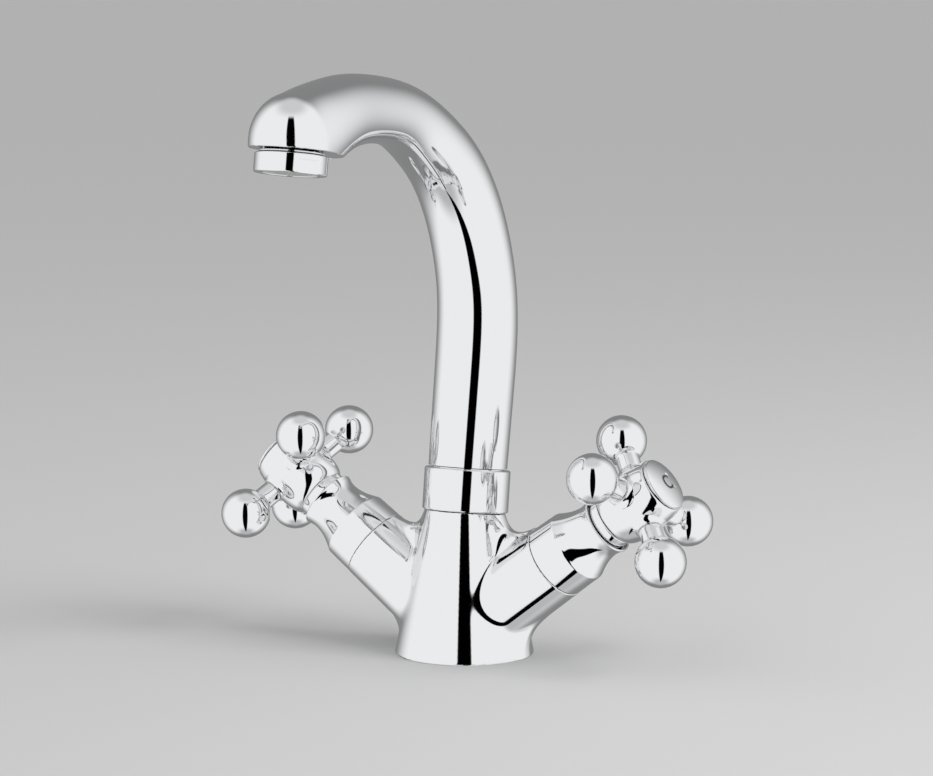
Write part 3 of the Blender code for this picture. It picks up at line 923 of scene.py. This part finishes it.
def makeCamera():
    back = awayFrom(studio["azimuth"], studio["elevation"])
    data = bpy.data.cameras.new("camera")
    data.lens = studio["lens"]
    data.sensor_width = 36
    data.clip_start = 0.01
    camera = bpy.data.objects.new("camera", data)
    bpy.context.scene.collection.objects.link(camera)
    camera.location = Vector(studio["target"]) + back * studio["distance"]
    camera.rotation_euler = back.to_track_quat("Z", "Y").to_euler()
    bpy.context.scene.camera = camera


def makeFloor():
    clearSelection()
    bpy.ops.mesh.primitive_plane_add(size=studio["floor"], location=(0, 0, 0))
    floor = nameIt("floor")
    paint = Finish("floorPaint", studio["floorColour"], 0.75, 0)
    paint.shader.inputs["Specular IOR Level"].default_value = 0
    paint.bump(paint.noise(400, 2), 0.02, 0.0001)
    floor.data.materials.append(paint.material)
    floor.visible_glossy = False  # the metal shows the tent's own lower half instead


panel = {"heading": 62, "height": 38, "distance": 1.3, "size": 0.7, "power": 9, "aim": (0, 0, 0.1)}


def makePanel():
    # a soft panel aimed at the middle of the mixer, its heading measured from the camera's own
    light = bpy.data.lights.new("sidePanel", "AREA")
    light.shape = "SQUARE"
    light.size = panel["size"]
    light.energy = panel["power"]
    lamp = bpy.data.objects.new("sidePanel", light)
    bpy.context.scene.collection.objects.link(lamp)
    back = awayFrom(studio["azimuth"] + panel["heading"], panel["height"])
    lamp.location = Vector(panel["aim"]) + back * panel["distance"]
    lamp.rotation_euler = back.to_track_quat("Z", "Y").to_euler()
    lamp.visible_glossy = False


tent = {
    "bright": 1.0,
    "back": 0.26,  # behind the mixer, as seen past its edges
    "top": 0.7,
    "slit": (10.6, 12.8),  # degrees either side of the camera where the tent is open and dark
    "slitTop": (52.0, 62.0),
    "turnsDim": (104.0, 158.0),
    "topStarts": (50.0, 75.0),
    "under": 0.55,
    "underStarts": (58.0, 80.0),
}


def makeTent():
    # a white light tent round the mixer, open in a narrow upright slit in front
    world = bpy.data.worlds.new("lightTent")
    board = Board(world)
    ray = board.add("ShaderNodeTexCoord", {}, [], "Generated")
    heading = math.radians(studio["azimuth"])
    forward = board.add("ShaderNodeVectorMath", {"operation": "DOT_PRODUCT"},
                        [ray, (math.sin(heading), -math.cos(heading), 0)], "Value")
    sideways = board.add("ShaderNodeVectorMath", {"operation": "DOT_PRODUCT"},
                         [ray, (math.cos(heading), math.sin(heading), 0)], "Value")
    rise = board.add("ShaderNodeVectorMath", {"operation": "DOT_PRODUCT"}, [ray, (0, 0, 1)], "Value")
    spread = sideways.join("ABSOLUTE", 0).join("ARCTAN2", forward)
    height = rise.join("ARCSINE", 0)

    def between(value, edges):
        low, high = edges
        return board.add("ShaderNodeMapRange", {"interpolation_type": "SMOOTHSTEP"},
                         {"Value": value, "From Min": math.radians(low), "From Max": math.radians(high)})

    wall = tent["bright"] + (tent["back"] - tent["bright"]) * between(spread, tent["turnsDim"])
    closed = between(spread, tent["slit"])
    overSlit = between(height, tent["slitTop"])
    wall = wall * (closed + overSlit - closed * overSlit)
    roof = between(height, tent["topStarts"])
    ground = between(0 - height, tent["underStarts"])
    level = wall + roof * (tent["top"] - wall)
    level = level + ground * closed * (tent["under"] - level)
    board.feed(board.tree.nodes["Background"].inputs["Strength"], level)
    board.tree.nodes["Background"].inputs["Color"].default_value = (1, 1, 1, 1)
    bpy.context.scene.world = world


makeCamera()
makeFloor()
makeTent()
makePanel()
bpy.context.scene.view_settings.view_transform = "Standard"
print("studio")
